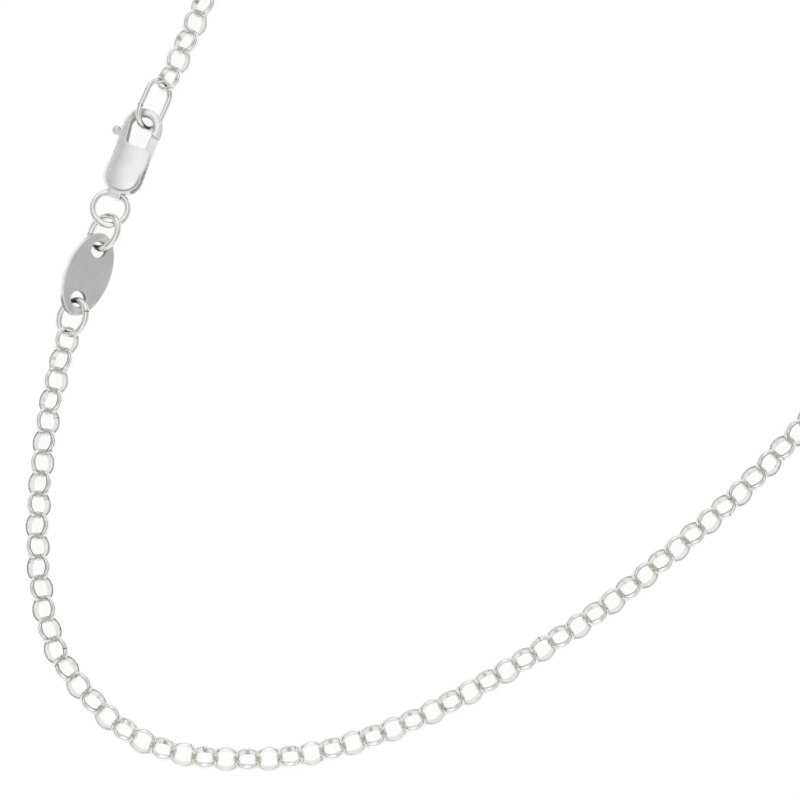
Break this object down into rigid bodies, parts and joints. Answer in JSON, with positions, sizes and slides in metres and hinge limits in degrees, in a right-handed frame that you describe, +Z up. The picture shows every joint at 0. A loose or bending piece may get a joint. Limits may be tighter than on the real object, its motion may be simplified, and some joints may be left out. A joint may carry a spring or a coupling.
{
  "type": "rolo chain necklace",
  "caption": "Rolo chain necklace of round domed links, closed by a lobster clasp on wire rings with an oval tag.",
  "frame": {"origin": "middle of the loop that the neck goes through, on the surface that the necklace lies on", "axes": "+Z up from that surface, +Y towards the top of the picture, +X to its right"},
  "size_m": [0.1352, 0.1648, 0.0033],
  "materials": {
    "polished_silver": "polished silver",
    "satin_silver": "satin silver"
  },
  "bodies": {
    "necklace": {"rolo_chain": "polished_silver", "long_link": "polished_silver", "clasp_body": "satin_silver", "clasp_pin": "polished_silver", "clasp_ring": "polished_silver", "tag_ring_top": "polished_silver", "tag": "satin_silver", "tag_ring_bottom": "polished_silver"},
    "lever": {"clasp_lever": "polished_silver"}
  },
  "joints": [
    {"name": "clasp_lever_hinge", "type": "hinge", "parent": "necklace", "child": "lever", "pos_m": [-0.05437, -0.01537, 0.00153], "axis": [-0.1417, -0.029, 0.9895], "range_deg": [0, 24], "stiffness_Nm_per_rad": 0.004, "springref_deg": -17.19}
  ]
}
